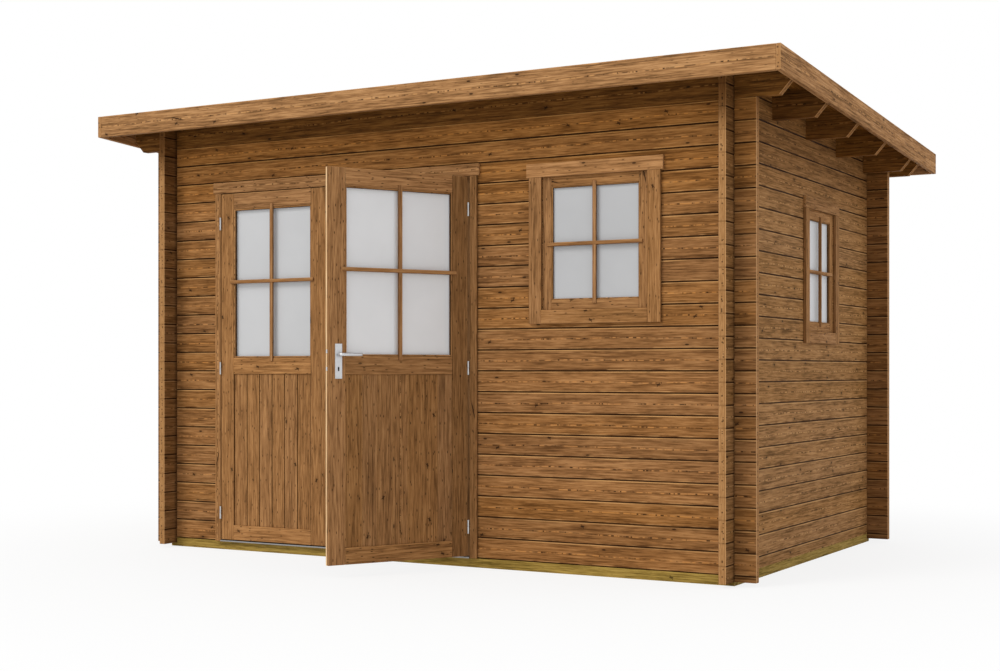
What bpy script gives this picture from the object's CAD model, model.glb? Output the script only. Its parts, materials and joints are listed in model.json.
"""Looks of the log-built garden shed: timber, panes, metalwork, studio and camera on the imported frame."""

import json
import logging
import math
from dataclasses import dataclass, field, replace
from enum import Enum

import bpy
import numpy as np
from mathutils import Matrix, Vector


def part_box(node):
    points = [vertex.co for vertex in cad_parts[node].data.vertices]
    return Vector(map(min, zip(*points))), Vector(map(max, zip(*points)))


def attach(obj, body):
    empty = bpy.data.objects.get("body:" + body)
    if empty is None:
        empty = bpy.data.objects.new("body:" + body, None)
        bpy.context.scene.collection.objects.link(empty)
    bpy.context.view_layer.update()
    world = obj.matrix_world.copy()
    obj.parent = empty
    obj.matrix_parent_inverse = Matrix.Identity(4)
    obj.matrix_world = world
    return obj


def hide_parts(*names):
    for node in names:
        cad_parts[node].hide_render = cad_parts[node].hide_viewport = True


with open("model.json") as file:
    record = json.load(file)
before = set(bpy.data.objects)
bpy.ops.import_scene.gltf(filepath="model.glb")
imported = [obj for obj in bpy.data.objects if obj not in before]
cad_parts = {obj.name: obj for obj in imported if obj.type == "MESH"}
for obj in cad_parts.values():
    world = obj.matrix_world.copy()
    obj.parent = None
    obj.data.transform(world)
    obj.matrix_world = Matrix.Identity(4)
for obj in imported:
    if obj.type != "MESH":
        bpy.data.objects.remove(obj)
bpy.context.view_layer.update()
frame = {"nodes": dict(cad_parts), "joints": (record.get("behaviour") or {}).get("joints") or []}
LOG = logging.getLogger("shed")

Colour = tuple[float, float, float]
Vec = tuple[float, float, float]
Socket = bpy.types.NodeSocket
Value = Socket | float

WHITE: Colour = (1.0, 1.0, 1.0)
RIGHT: Vec = (1, 0, 0)
BACK: Vec = (0, 1, 0)
FRONT: Vec = (0, -1, 0)
UP: Vec = (0, 0, 1)

# Heights over which the timber goes over into the sheltered tint, and the log ends into theirs.
EAVES = (1.85, 2.3)
TOP_ENDS = (2.20, 2.44)


def srgb(red: int, green: int, blue: int) -> Colour:
    """Turns 8-bit display values into linear light.

    Args:
        red: Red, 0 to 255.
        green: Green, 0 to 255.
        blue: Blue, 0 to 255.

    Returns:
        The linear colour.
    """
    part = np.array([red, green, blue]) / 255.0
    light = np.where(part <= 0.04045, part / 12.92, ((part + 0.055) / 1.055) ** 2.4)
    return tuple(float(v) for v in light)


class Axis(Enum):
    """An axis of the shared frame, by its index."""

    X = 0
    Y = 1
    Z = 2


class Hand(Enum):
    """The side of the doorway that a leaf hangs on, with the way from its hinge to its free edge."""

    LEFT = 1
    RIGHT = -1


# Shader wiring


class Wiring:
    """A node tree with short calls for the nodes that the finishes use."""

    def __init__(self, tree: bpy.types.NodeTree) -> None:
        """Keeps the tree that the calls add to."""
        self.tree = tree

    def node(self, kind: str, **settings: object) -> bpy.types.Node:
        """Adds a node.

        Args:
            kind: Blender's node type name.
            settings: Attributes to set on the node.

        Returns:
            The new node.
        """
        made = self.tree.nodes.new(kind)
        for name, value in settings.items():
            setattr(made, name, value)
        return made

    def feed(self, target: Socket, value: object) -> None:
        """Links a socket to a target, or sets the target's own value.

        Args:
            target: The input to feed.
            value: A socket to link, or the number, vector or colour to set.
        """
        if isinstance(value, Socket):
            self.tree.links.new(value, target)
        elif isinstance(value, tuple) and target.type == "RGBA":
            target.default_value = (*value[:3], 1.0)
        else:
            target.default_value = value

    def math(self, what: str, a: Value, b: Value = 0.0, c: Value = 0.0, clamp: bool = False) -> Socket:
        """Adds a Math node.

        Args:
            what: The operation's name.
            a: First value.
            b: Second value.
            c: Third value, for the operations that have one.
            clamp: Whether the result stays between 0 and 1.

        Returns:
            The result.
        """
        made = self.node("ShaderNodeMath", operation=what, use_clamp=clamp)
        for socket, value in zip(made.inputs, (a, b, c)):
            self.feed(socket, value)
        return made.outputs[0]

    def times(self, a: Value, b: Value) -> Socket:
        """Multiplies two values."""
        return self.math("MULTIPLY", a, b)

    def less(self, a: Value, b: Value) -> Socket:
        """Takes the second value from the first."""
        return self.math("SUBTRACT", a, b)

    def most(self, a: Value, b: Value) -> Socket:
        """The larger of two values."""
        return self.math("MAXIMUM", a, b)

    def size(self, value: Value) -> Socket:
        """A value without its sign."""
        return self.math("ABSOLUTE", value)

    def swing(self, value: Value, gain: Value, base: Value = 0.0, clamp: bool = False) -> Socket:
        """Centres a value of 0 to 1 on zero, scales it and adds it to a base."""
        return self.math("MULTIPLY_ADD", self.less(value, 0.5), gain, base, clamp)

    def step(self, value: Value, low: float, high: float, start: float = 0.0, end: float = 1.0) -> Socket:
        """Adds a smooth step from one level to another.

        Args:
            value: The value that runs.
            low: Where the step begins.
            high: Where the step is done, which may lie below its beginning.
            start: Level before the step.
            end: Level after the step.

        Returns:
            The result.
        """
        made = self.node("ShaderNodeMapRange", interpolation_type="SMOOTHSTEP")
        for socket, given in zip(made.inputs, (value, low, high, start, end)):
            self.feed(socket, given)
        return made.outputs[0]

    def point(self, x: Value, y: Value, z: Value = 0.0) -> Socket:
        """Joins three values into a vector.

        Args:
            x: First value.
            y: Second value.
            z: Third value.

        Returns:
            The vector.
        """
        made = self.node("ShaderNodeCombineXYZ")
        for socket, value in zip(made.inputs, (x, y, z)):
            self.feed(socket, value)
        return made.outputs[0]

    def split(self, vector: Socket) -> tuple[Socket, Socket, Socket]:
        """Splits a vector.

        Args:
            vector: The vector.

        Returns:
            Its three values.
        """
        made = self.node("ShaderNodeSeparateXYZ")
        self.feed(made.inputs[0], vector)
        return made.outputs[0], made.outputs[1], made.outputs[2]

    def noise(self, vector: Socket, scale: float = 1.0, detail: float = 2.0, rough: float = 0.5) -> Socket:
        """Adds smooth noise.

        Args:
            vector: Where it is read.
            scale: How often it changes in a unit of the vector.
            detail: How many finer layers it has.
            rough: How strong the finer layers are.

        Returns:
            The noise, from 0 to 1.
        """
        made = self.node("ShaderNodeTexNoise")
        self.feed(made.inputs["Vector"], vector)
        made.inputs["Scale"].default_value = scale
        made.inputs["Detail"].default_value = detail
        made.inputs["Roughness"].default_value = rough
        return made.outputs[0]

    def cells(self, vector: Socket) -> tuple[Socket, Socket, Socket]:
        """Scatters points on a plane, about one in each unit square.

        Args:
            vector: Where the scatter is read.

        Returns:
            The distance to the nearest point, that point's own random value, and the way from it.
        """
        made = self.node("ShaderNodeTexVoronoi", voronoi_dimensions="2D", feature="F1")
        self.feed(made.inputs["Vector"], vector)
        made.inputs["Scale"].default_value = 1.0
        parted = self.node("ShaderNodeSeparateColor")
        self.feed(parted.inputs[0], made.outputs["Color"])
        way = self.node("ShaderNodeVectorMath", operation="SUBTRACT")
        self.feed(way.inputs[0], vector)
        self.feed(way.inputs[1], made.outputs["Position"])
        return made.outputs["Distance"], parted.outputs[0], way.outputs[0]

    def chance(self, value: Value) -> Socket:
        """Adds a random value from 0 to 1 for each input value.

        Args:
            value: The input value.

        Returns:
            The random value.
        """
        made = self.node("ShaderNodeTexWhiteNoise", noise_dimensions="1D")
        self.feed(made.inputs["W"], value)
        return made.outputs["Value"]

    def mix(self, share: Value, a: object, b: object, blend: str = "MIX") -> Socket:
        """Mixes two colours.

        Args:
            share: How much of the second colour shows.
            a: First colour.
            b: Second colour.
            blend: The blend's name.

        Returns:
            The mixed colour.
        """
        made = self.node("ShaderNodeMix", data_type="RGBA", blend_type=blend, clamp_factor=True)
        colours = [socket for socket in made.inputs if socket.type == "RGBA"]
        self.feed(made.inputs[0], share)
        self.feed(colours[0], a)
        self.feed(colours[1], b)
        return next(socket for socket in made.outputs if socket.type == "RGBA")

    def bump(self, height: Socket, strength: float, distance: float) -> Socket:
        """Adds relief.

        Args:
            height: The height to read.
            strength: How much of it shows.
            distance: Depth of a full height, in metres.

        Returns:
            The bent normal.
        """
        made = self.node("ShaderNodeBump")
        made.inputs["Strength"].default_value = strength
        made.inputs["Distance"].default_value = distance
        self.feed(made.inputs["Height"], height)
        return made.outputs[0]

    def group(self, tree: bpy.types.NodeTree, **values: object) -> bpy.types.Node:
        """Places a node group and feeds its inputs.

        Args:
            tree: The group.
            values: What feeds each input, by the input's name.

        Returns:
            The placed group.
        """
        made = self.node("ShaderNodeGroup", node_tree=tree)
        for name, value in values.items():
            self.feed(made.inputs[name], value)
        return made


def new_group(
    name: str, inputs: dict[str, str], outputs: dict[str, str]
) -> tuple[Wiring, dict[str, Socket], bpy.types.Node]:
    """Starts a shader node group.

    Args:
        name: The group's name.
        inputs: Input names with Float or Color.
        outputs: Output names with Float or Color.

    Returns:
        The group's wiring, its input sockets by name, and its output node.
    """
    tree = bpy.data.node_groups.new(name, "ShaderNodeTree")
    for way, sockets in (("INPUT", inputs), ("OUTPUT", outputs)):
        for label, kind in sockets.items():
            tree.interface.new_socket(label, in_out=way, socket_type=f"NodeSocket{kind}")
    wires = Wiring(tree)
    entry = wires.node("NodeGroupInput")
    return wires, {label: entry.outputs[label] for label in inputs}, wires.node("NodeGroupOutput")


def new_material(name: str) -> tuple[bpy.types.Material, Wiring, bpy.types.Node]:
    """Starts a node material.

    Args:
        name: The material's name.

    Returns:
        The material, its wiring and its Principled shader.
    """
    made = bpy.data.materials.new(name)
    made.use_nodes = True
    return made, Wiring(made.node_tree), made.node_tree.nodes["Principled BSDF"]


def course_group() -> bpy.types.NodeTree:
    """Group that turns a height into a place within a course, its random key and the seam's distance.

    The course number is the floor of (height - foot) / course. The place is the rest times the course, less
    half of it, and the key is a random value of the number.

    Returns:
        The group.
    """
    w, ins, out = new_group(
        "log courses",
        {"Height": "Float", "Foot": "Float", "Course": "Float", "Seed": "Float"},
        {"Across": "Float", "Key": "Float", "Rim": "Float"},
    )
    count = w.math("DIVIDE", w.less(ins["Height"], ins["Foot"]), ins["Course"])
    number = w.math("FLOOR", count)
    across = w.times(w.less(w.less(count, number), 0.5), ins["Course"])
    w.feed(out.inputs["Across"], across)
    w.feed(out.inputs["Key"], w.chance(w.math("MULTIPLY_ADD", number, 1.37, ins["Seed"])))
    w.feed(out.inputs["Rim"], w.less(w.times(ins["Course"], 0.5), w.size(across)))
    return w.tree


def pine_group() -> bpy.types.NodeTree:
    """Group for a planed pine face: bands, fine streaks, a broken heart line, knots and pin knots.

    Streaks and bands are noise stretched along the grain, the heart line is a thin wandering band broken into
    dark and bright dashes, and knots are scattered cells drawn out along the grain. Distances are in metres,
    and the other steps are on noise levels and random values from 0 to 1.

    Returns:
        The group.
    """
    numbers = ("Along", "Across", "Key", "Tone", "Heart", "Pins", "Range")
    colours = ("Dark", "Mid", "Light", "Fleck", "Knot")
    w, ins, out = new_group(
        "pine face",
        {**dict.fromkeys(numbers, "Float"), **dict.fromkeys(colours, "Color")},
        {"Color": "Color", "Height": "Float", "Shade": "Float"},
    )
    along, across, key = ins["Along"], ins["Across"], w.times(ins["Key"], 91.0)

    def stretched(run: float, rise: float, shift: float) -> Socket:
        """The grain place scaled along and across, moved by the piece's key."""
        return w.point(
            w.math("MULTIPLY_ADD", along, run, key),
            w.math("MULTIPLY_ADD", across, rise, shift),
            w.math("ADD", key, shift),
        )

    def bent(run: float, rise: float) -> Socket:
        """The grain place scaled along, and across on the swaying grain."""
        return w.point(w.math("MULTIPLY_ADD", along, run, key), w.times(swayed, rise), key)

    # Streaks, bands, patches and fibres add up to one lightness, which runs from dark over mid to light.
    swayed = w.math("ADD", across, w.swing(w.noise(stretched(1.3, 9.0, 3.0), detail=2.0), 0.012))
    streak = w.noise(bent(5.0, 140.0), detail=4.0, rough=0.66)
    band = w.noise(bent(1.3, 46.0), detail=2.0)
    patch = w.noise(stretched(3.2, 18.0, 11.0), detail=3.0)
    fibre = w.noise(stretched(11.0, 120.0, 67.0), detail=2.0, rough=0.6)
    tone = w.swing(patch, 0.75, w.swing(band, 0.9, w.swing(streak, 2.4, 0.5)))
    tone = w.swing(fibre, 1.3, tone, clamp=True)
    colour = w.mix(w.math("MULTIPLY", tone, 2.0, clamp=True), ins["Dark"], ins["Mid"])
    colour = w.mix(w.math("MULTIPLY_ADD", tone, 2.0, -1.0, clamp=True), colour, ins["Light"])
    stain = w.step(w.noise(stretched(4.2, 60.0, 41.0), detail=4.0, rough=0.6), 0.56, 0.74, 0.0, 0.25)
    colour = w.mix(stain, colour, w.mix(0.45, ins["Dark"], ins["Knot"]))

    # The heart line wanders about the middle, with bright dashes where a noise is low, dark where it is high.
    drift = w.swing(w.noise(stretched(2.4, 0.0, 7.0), detail=1.0), 0.022)
    off = w.size(w.less(across, drift))
    dash = w.noise(stretched(26.0, 0.0, 5.0), detail=1.0)
    dots = w.noise(stretched(48.0, 0.0, 23.0), detail=1.0)
    shown = w.math("LESS_THAN", w.chance(w.math("ADD", key, 2.2)), ins["Heart"])
    runs = w.times(w.step(w.noise(stretched(1.2, 0.0, 13.0), detail=1.0), 0.26, 0.42), shown)
    bright = w.times(w.step(off, 0.0042, 0.0012), w.step(dash, 0.53, 0.45))
    colour = w.mix(w.times(w.times(bright, runs), 0.66), colour, ins["Fleck"])
    mark = w.times(w.step(off, 0.0048, 0.0018), w.step(dots, 0.60, 0.66))
    score = w.times(w.step(off, 0.0040, 0.0014), w.step(dash, 0.55, 0.61, 0.0, 0.6))
    mark = w.times(w.most(mark, score), runs)

    # Knots sit in a share of the cells, and some have a slanting tick across them.
    knot_run, knot_rise = 3.4, 9.0
    spread, lot, way = w.cells(stretched(knot_run, knot_rise, 17.0))
    taken = w.step(lot, 0.55, 0.57)
    knot = w.times(w.step(spread, 0.050, 0.028), taken)
    halo = w.times(w.step(spread, 0.16, 0.04), taken)
    run, rise, _ = w.split(way)
    run, rise = w.times(run, 1 / knot_run), w.times(rise, 1 / knot_rise)
    lean = w.math("MULTIPLY_ADD", w.step(lot, 0.88, 0.89), 1.9, -0.95)
    thin = w.size(w.math("MULTIPLY_ADD", run, lean, w.times(rise, 0.7)))
    tick = w.times(w.step(thin, 0.0032, 0.0012), w.step(w.size(rise), 0.013, 0.008))
    tick = w.times(tick, w.step(lot, 0.78, 0.80))
    gleam = w.step(w.noise(stretched(7.0, 130.0, 53.0), detail=3.0, rough=0.6), 0.60, 0.76, 0.0, 0.38)
    colour = w.mix(gleam, colour, ins["Fleck"])
    spread, lot, _ = w.cells(stretched(13.0, 42.0, 29.0))
    pin = w.times(w.step(spread, 0.13, 0.06), w.step(lot, 0.42, 0.70, 0.0, 0.95))
    pin = w.times(pin, ins["Pins"])
    colour = w.mix(w.times(halo, 0.35), colour, ins["Dark"])
    flaw = w.most(w.most(mark, pin), w.most(knot, tick))
    colour = w.mix(w.times(flaw, 0.88), colour, ins["Knot"])

    toned = w.node("ShaderNodeHueSaturation")
    w.feed(toned.inputs["Value"], w.times(w.swing(w.chance(key), ins["Range"], 1.0), ins["Tone"]))
    rich = w.math("MULTIPLY_ADD", w.chance(w.math("ADD", key, 4.4)), 0.05, 0.96)
    w.feed(toned.inputs["Saturation"], rich)
    w.feed(toned.inputs["Color"], colour)
    w.feed(out.inputs["Color"], toned.outputs[0])
    height = w.math("MULTIPLY_ADD", flaw, -0.8, w.math("MULTIPLY_ADD", band, 0.4, streak))
    w.feed(out.inputs["Height"], height)
    w.feed(out.inputs["Shade"], w.less(1.0, tone))
    return w.tree


def seam_group() -> bpy.types.NodeTree:
    """Group that darkens the joint between two courses and brightens the edges above and below it.

    The joint is a step on the distance to the seam, in metres, blotted with noise. The bright edges are the
    next few millimetres, broken along the log: nearly whole on the lower log, in dashes on the upper one.

    Returns:
        The group.
    """
    numbers = ("Along", "Across", "Key", "Rim", "Depth")
    w, ins, out = new_group(
        "course seam",
        {**dict.fromkeys(numbers, "Float"), **dict.fromkeys(("Color", "Gap", "Edge"), "Color")},
        {"Color": "Color", "Mask": "Float"},
    )
    rim, depth = ins["Rim"], ins["Depth"]
    place = w.point(w.times(ins["Along"], 3.0), w.times(ins["Key"], 63.0))
    waver = w.noise(place, detail=3.0)
    blot = w.noise(w.point(w.times(ins["Along"], 5.5), w.times(ins["Key"], 29.0)), detail=4.0)
    upper = w.step(ins["Across"], 0.0, 0.01)

    deep = w.math("MULTIPLY_ADD", w.step(blot, 0.46, 0.68), 0.34, 0.12)
    shade = w.times(w.step(rim, 0.028, 0.003), deep)
    colour = w.mix(w.times(shade, depth), ins["Color"], ins["Gap"])
    lip = w.times(w.step(rim, 0.0085, 0.0055), upper)
    lip = w.times(lip, w.step(waver, 0.36, 0.62, 0.2, 0.8))
    colour = w.mix(w.times(lip, depth), colour, ins["Edge"])
    under = w.times(w.step(rim, 0.0132, 0.0098), w.step(rim, 0.0052, 0.0076))
    under = w.times(under, w.less(1.0, upper))
    under = w.times(under, w.step(w.noise(place, scale=2.3, detail=2.0), 0.45, 0.60, 0.0, 0.55))
    colour = w.mix(w.times(under, depth), colour, ins["Edge"])
    line = w.step(w.math("MULTIPLY_ADD", upper, 0.0052, rim), 0.0080, 0.0050)
    line = w.times(w.times(line, depth), w.step(blot, 0.32, 0.52, 0.72, 1.0))
    w.feed(out.inputs["Color"], w.mix(line, colour, ins["Gap"]))
    w.feed(out.inputs["Mask"], line)
    return w.tree


def end_group() -> bpy.types.NodeTree:
    """Group for sawn log ends: faint year rings, a dark heart, saw marks, a check and light edges.

    The rings are a sine of the distance from a heart that lies off the face's middle by the piece's key. The
    check is a dark line at a set distance from the middle.

    Returns:
        The group.
    """
    numbers = ("Side", "Across", "Key")
    w, ins, out = new_group(
        "sawn end",
        {**dict.fromkeys(numbers, "Float"), **dict.fromkeys(("Light", "Dark", "Knot"), "Color")},
        {"Color": "Color", "Height": "Float"},
    )
    side, key = ins["Side"], w.times(ins["Key"], 57.0)
    rise = w.less(ins["Across"], w.swing(w.chance(key), 0.07))
    far = w.math("SQRT", w.math("ADD", w.math("POWER", side, 2.0), w.math("POWER", rise, 2.0)))
    ring = w.math("SINE", w.times(far, 1500.0))
    grit = w.noise(w.point(w.times(side, 190.0), w.times(rise, 24.0), key), detail=3.0)
    share = w.math("MULTIPLY_ADD", ring, 0.14, w.math("MULTIPLY_ADD", grit, 1.3, 0.12), clamp=True)
    arris = w.step(w.size(side), 0.0145, 0.0175)
    colour = w.mix(w.times(share, w.less(1.0, arris)), ins["Light"], ins["Dark"])
    check = w.size(w.less(side, 0.0128))
    colour = w.mix(w.step(check, 0.0030, 0.0010, 0.0, 0.85), colour, ins["Dark"])
    heart = w.step(far, 0.0052, 0.0028)
    dots = w.noise(w.point(w.times(ins["Across"], 75.0), key), detail=1.0)
    lane = w.swing(w.chance(w.math("ADD", key, 1.5)), 0.012)
    split = w.times(w.step(w.size(w.less(side, lane)), 0.0050, 0.0022), w.step(dots, 0.57, 0.63))
    w.feed(out.inputs["Color"], w.mix(w.times(w.most(heart, split), 0.75), colour, ins["Knot"]))
    w.feed(out.inputs["Height"], w.less(grit, heart))
    return w.tree


COURSES = course_group()
PINE = pine_group()
SEAM = seam_group()
SAWN = end_group()


# Finishes


@dataclass(frozen=True)
class Lay:
    """How the courses of a CAD node lie.

    Attributes:
        run: Axis along the grain.
        rise: Axis on which the courses follow each other.
        foot: Place of one seam on that axis.
        course: Distance between seams.
        seed: The node's own random offset.
        seam: Strength of the joints between courses.
        body: Where the run goes past the crossing walls, low and high.
        stub: How much darker the log ends past there are.
        bevel: Run and rise of the slanted cut under each end.
        shelter: Tint of the unfaded timber close under the eaves, between the EAVES heights and above.
        top_end: Tint of the topmost log ends, between the TOP_ENDS heights and above.
    """

    run: Axis
    rise: Axis
    foot: float
    course: float
    seed: float
    seam: float = 1.0
    body: tuple[float, float] = (-9.0, 9.0)
    stub: float = 0.0
    bevel: tuple[float, float] = (0.0, 1.0)
    shelter: Colour = WHITE
    top_end: Colour = WHITE


@dataclass(frozen=True)
class Timber:
    """Colours and wear of one kind of timber.

    The grain runs from dark over mid to light, with flecks and knots; gap is the colour of a joint, sawn that
    of an end, and rim that of the bright edge beside a joint. Heart and pins are the shares of heart lines and
    pin knots, vary is the spread between pieces, edge darkens a board's sides, and worn lightens its edges.
    """

    dark: Colour
    mid: Colour
    light: Colour
    fleck: Colour
    knot: Colour
    gap: Colour
    sawn: Colour
    rim: Colour = (0.0, 0.0, 0.0)
    heart: float = 1.0
    pins: float = 0.6
    vary: float = 0.16
    edge: float = 0.2
    worn: float = 0.6
    rough: float = 0.62
    relief: float = 0.0006

    def face(
        self, w: Wiring, along: Socket, across: Socket, key: Socket, tone: Value = 1.0
    ) -> bpy.types.Node:
        """Places the pine group with this timber's colours, at metres along and across the grain."""
        return w.group(
            PINE, Along=along, Across=across, Key=key, Tone=tone,
            Heart=self.heart, Pins=self.pins, Range=self.vary,
            Dark=self.dark, Mid=self.mid, Light=self.light, Fleck=self.fleck, Knot=self.knot,
        )

    def end(self, w: Wiring, side: Socket, across: Socket, key: Socket) -> bpy.types.Node:
        """Places the sawn end group with this timber's colours, at metres from the end's middle."""
        return w.group(
            SAWN, Side=side, Across=across, Key=key, Light=self.sawn, Dark=self.mid, Knot=self.knot
        )

    def close(
        self, w: Wiring, shader: bpy.types.Node, colour: Socket, height: Socket, shade: Socket
    ) -> None:
        """Feeds the shader of a timber material.

        Args:
            w: The material's wiring.
            shader: Its Principled shader.
            colour: The surface's colour.
            height: Height for the relief.
            shade: How dark the grain is, which roughens the surface.
        """
        w.feed(shader.inputs["Base Color"], colour)
        w.feed(shader.inputs["Roughness"], w.math("MULTIPLY_ADD", shade, 0.18, self.rough))
        shader.inputs["Specular IOR Level"].default_value = 0.06
        w.feed(shader.inputs["Normal"], w.bump(height, 0.55, self.relief))

    def stacked(self, name: str, node: str, lay: Lay) -> bpy.types.Material:
        """Material of a CAD node of stacked courses, read from Object coordinates.

        A sawn end shows where the distance to the nearer end of the node, less the slanted cut's run at that
        height, is about a millimetre. Logs past the crossing are darker, most of all in the nook beside it.

        Args:
            name: The material's name.
            node: The CAD node, whose box gives the ends and the middle.
            lay: How its courses lie.

        Returns:
            The material.
        """
        made, w, shader = new_material(name)
        place = w.split(w.node("ShaderNodeTexCoord").outputs["Object"])
        third = next(axis.value for axis in Axis if axis not in (lay.run, lay.rise))
        run, rise = lay.run.value, lay.rise.value
        low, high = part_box(node)
        here, up = place[run], place[Axis.Z.value]
        courses = w.group(COURSES, Height=place[rise], Foot=lay.foot, Course=lay.course, Seed=lay.seed)
        across, key = courses.outputs["Across"], courses.outputs["Key"]
        grain = self.face(w, here, across, key)
        joint = w.group(
            SEAM, Color=grain.outputs["Color"], Along=here, Across=across, Key=key,
            Rim=courses.outputs["Rim"], Gap=self.gap, Edge=self.rim, Depth=lay.seam,
        )

        past = w.most(w.less(lay.body[0], here), w.less(here, lay.body[1]))
        colour = w.mix(w.step(past, -0.02, 0.02, 0.0, lay.stub), joint.outputs["Color"], self.gap)
        nook = w.times(w.step(past, 0.034, 0.0), w.step(past, -0.02, -0.004))
        colour = w.mix(w.times(nook, min(1.0, 2.2 * lay.stub)), colour, self.gap)
        colour = w.mix(w.step(up, *EAVES), colour, lay.shelter, "MULTIPLY")

        end = self.end(w, w.less(place[third], (low[third] + high[third]) / 2), across, key)
        sawn = w.mix(w.times(joint.outputs["Mask"], 0.3), end.outputs["Color"], self.gap)
        sawn = w.mix(w.step(up, *TOP_ENDS), sawn, lay.top_end, "MULTIPLY")
        tail = w.math("MINIMUM", w.less(here, low[run]), w.less(high[run], here))
        raised = w.math("DIVIDE", w.less(place[rise], low[rise]), lay.bevel[1])
        slant = w.times(w.math("SUBTRACT", 1.0, raised, clamp=True), lay.bevel[0])
        cut = w.step(w.less(tail, slant), 0.0016, 0.0010)
        height = w.math("MULTIPLY_ADD", end.outputs["Height"], cut, grain.outputs["Height"])
        self.close(w, shader, w.mix(cut, colour, sawn), height, grain.outputs["Shade"])
        return made

    def boarded(self, name: str) -> bpy.types.Material:
        """Material of boards that carry their own grain map and marks.

        The sides of a board are darker than its faces, and the edges between them are worn light in places.

        Args:
            name: The material's name.

        Returns:
            The material.
        """
        made, w, shader = new_material(name)
        along, across, _ = w.split(w.node("ShaderNodeUVMap", uv_map="grain").outputs[0])
        key, cut, tone, half = (
            w.node("ShaderNodeAttribute", attribute_name=mark).outputs["Fac"]
            for mark in ("key", "cut", "tone", "half")
        )
        grain = self.face(w, along, across, key, tone)
        end = self.end(w, along, across, key)
        reach = w.less(w.size(across), half)
        colour = w.mix(w.step(reach, 0.0, 0.002, 0.0, self.edge), grain.outputs["Color"], self.gap)
        arris = w.times(w.step(reach, -0.0045, -0.002), w.step(reach, 0.0025, 0.0005))
        chip = w.noise(w.point(w.times(along, 14.0), w.times(key, 37.0)), detail=3.0)
        colour = w.mix(w.times(arris, w.step(chip, 0.35, 0.65, 0.1, self.worn)), colour, self.fleck)
        colour = w.mix(cut, colour, end.outputs["Color"])
        self.close(w, shader, colour, grain.outputs["Height"], grain.outputs["Shade"])
        return made


@dataclass(frozen=True)
class Metal:
    """A brushed metal: its colour, roughness and the axis of its brushing."""

    colour: Colour
    rough: float
    brushed: Axis

    def material(self, name: str) -> bpy.types.Material:
        """Material with fine brushed lines and dull smears, read from Object coordinates.

        Args:
            name: The material's name.

        Returns:
            The material.
        """
        made, w, shader = new_material(name)
        spot = w.split(w.node("ShaderNodeTexCoord").outputs["Object"])
        scales = [30.0 if axis is self.brushed else 900.0 for axis in Axis]
        lines = w.noise(w.point(*(w.times(p, s) for p, s in zip(spot, scales))), detail=3.0)
        smear = w.noise(w.point(*(w.times(p, 45.0) for p in spot)), detail=2.0)
        dull = tuple(0.72 * v for v in self.colour)
        share = w.math("MULTIPLY_ADD", w.step(smear, 0.45, 0.75), 0.4, w.times(lines, 0.35))
        w.feed(shader.inputs["Base Color"], w.mix(share, self.colour, dull))
        w.feed(shader.inputs["Roughness"], w.math("MULTIPLY_ADD", lines, 0.22, self.rough))
        shader.inputs["Metallic"].default_value = 1.0
        w.feed(shader.inputs["Normal"], w.bump(lines, 0.15, 0.0002))
        return made


@dataclass(frozen=True)
class Pane:
    """Pale, slightly milky window glass."""

    shade: int
    through: float = 0.06
    bend: float = 2.0

    def material(self, name: str) -> bpy.types.Material:
        """Material with a faint veil and drift in gloss, read from Object coordinates.

        Args:
            name: The material's name.

        Returns:
            The material.
        """
        made, w, shader = new_material(name)
        spot = w.node("ShaderNodeTexCoord").outputs["Object"]
        cloud = w.noise(spot, scale=2.2, detail=3.0)
        drift = w.noise(spot, scale=7.0, detail=2.0)
        clear = srgb(self.shade - 2, self.shade, self.shade + 3)
        veil = srgb(self.shade - 9, self.shade - 7, self.shade - 4)
        w.feed(shader.inputs["Base Color"], w.mix(w.step(cloud, 0.35, 0.7), clear, veil))
        w.feed(shader.inputs["Roughness"], w.math("MULTIPLY_ADD", drift, 0.12, 0.34))
        shader.inputs["Transmission Weight"].default_value = self.through
        shader.inputs["IOR"].default_value = self.bend
        return made


@dataclass(frozen=True)
class Felt:
    """Mineral roofing felt in lapped strips."""

    dark: Colour
    light: Colour
    strip: float = 1.0

    def material(self, name: str) -> bpy.types.Material:
        """Material with mineral grit and lap lines along the strips, read from Object coordinates.

        Args:
            name: The material's name.

        Returns:
            The material.
        """
        made, w, shader = new_material(name)
        spot = w.node("ShaderNodeTexCoord").outputs["Object"]
        _, y, _ = w.split(spot)
        grit = w.noise(spot, scale=420.0, detail=2.0)
        cloud = w.noise(spot, scale=1.7, detail=4.0)
        lap = w.math("PINGPONG", w.math("ADD", y, 0.02), self.strip / 2)
        edge = w.step(lap, 0.006, 0.002)
        share = w.math("MULTIPLY_ADD", w.step(grit, 0.45, 0.7), 0.5, w.times(cloud, 0.45), clamp=True)
        colour = w.mix(edge, w.mix(share, self.dark, self.light), tuple(0.4 * v for v in self.dark))
        w.feed(shader.inputs["Base Color"], colour)
        w.feed(shader.inputs["Roughness"], w.math("MULTIPLY_ADD", grit, 0.12, 0.82))
        w.feed(shader.inputs["Normal"], w.bump(w.math("MULTIPLY_ADD", edge, -1.5, grit), 0.6, 0.002))
        return made


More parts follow.
